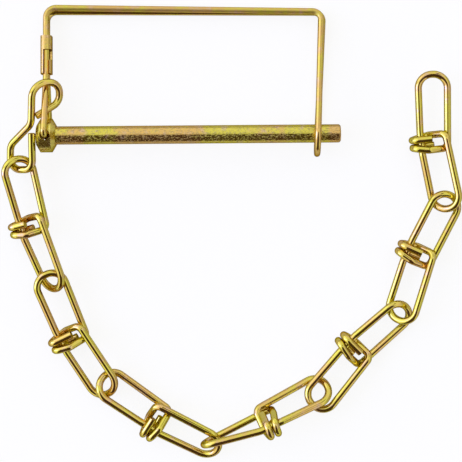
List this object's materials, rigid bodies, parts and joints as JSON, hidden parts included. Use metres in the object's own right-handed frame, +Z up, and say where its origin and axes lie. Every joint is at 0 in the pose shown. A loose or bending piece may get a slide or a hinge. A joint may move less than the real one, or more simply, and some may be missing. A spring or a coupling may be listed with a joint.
{
  "type": "snapper pin",
  "caption": "Straight headed pin with a sprung wire bail that snaps over its free end, tethered by an S-hook to a short double-loop wire chain.",
  "frame": {"origin": "on the pin's axis at the shoulder of its head", "axes": "+X along the pin to its free end, +Z up as the set lies at rest, +Y from the pin to the bail's bar"},
  "size_m": [0.1605, 0.1594, 0.0169],
  "materials": {
    "pin": "turned steel with yellow chromate zinc plating",
    "bail": "spring steel wire with yellow chromate zinc plating",
    "ferrule": "folded sheet steel with matte yellow chromate zinc plating",
    "s_hook": "steel wire with yellow chromate zinc plating",
    "chain": "steel wire with yellow chromate zinc plating"
  },
  "bodies": {
    "pin": {"pin": "pin"},
    "bail": {"bail": "bail", "ferrule": "ferrule"},
    "s_hook": {"s_hook": "s_hook"},
    "link_1": {"link_1": "chain"},
    "link_2": {"link_2": "chain"},
    "link_3": {"link_3": "chain"},
    "link_4": {"link_4": "chain"},
    "link_5": {"link_5": "chain"},
    "link_6": {"link_6": "chain"},
    "link_7": {"link_7": "chain"}
  },
  "joints": [
    {"name": "bail_swing", "type": "hinge", "parent": "pin", "child": "bail", "pos_m": [-0.00335, -0.0004, 0.00006], "axis": [0, 0.1419, 0.9899], "range_deg": [0, 100]},
    {"name": "hook_swing", "type": "hinge", "parent": "bail", "child": "s_hook", "pos_m": [-0.00352, 0.01254, 0.00218], "axis": [0, 0.1419, 0.9899], "range_deg": [-100, 0]},
    {"name": "link_1_swing", "type": "hinge", "parent": "s_hook", "child": "link_1", "pos_m": [-0.0136, -0.0101, -0.00242], "axis": [0, 0, 1], "range_deg": [-5, 15]},
    {"name": "link_2_swing", "type": "hinge", "parent": "link_1", "child": "link_2", "pos_m": [-0.00254, -0.05105, -0.00294], "axis": [0, 0, 1], "range_deg": [-10, 25]},
    {"name": "link_3_swing", "type": "hinge", "parent": "link_2", "child": "link_3", "pos_m": [0.0159, -0.08804, -0.0042], "axis": [0.5299, 0.848, 0], "range_deg": [-40, 4]},
    {"name": "link_4_swing", "type": "hinge", "parent": "link_3", "child": "link_4", "pos_m": [0.05275, -0.10875, -0.00129], "axis": [0, 0, -1], "range_deg": [-8, 10]},
    {"name": "link_5_swing", "type": "hinge", "parent": "link_4", "child": "link_5", "pos_m": [0.09109, -0.0918, -0.00396], "axis": [-0.7133, 0.7009, 0], "range_deg": [-60, 0]},
    {"name": "link_6_swing", "type": "hinge", "parent": "link_5", "child": "link_6", "pos_m": [0.12026, -0.0635, -0.00425], "axis": [0, 0, 1], "range_deg": [-25, 15]},
    {"name": "link_7_swing", "type": "hinge", "parent": "link_6", "child": "link_7", "pos_m": [0.13656, -0.02434, -0.00255], "axis": [0, 0, 1], "range_deg": [-25, 25]}
  ],
  "couplings": [
    {"joint": "hook_swing", "follows": "bail_swing", "ratio": -1}
  ]
}
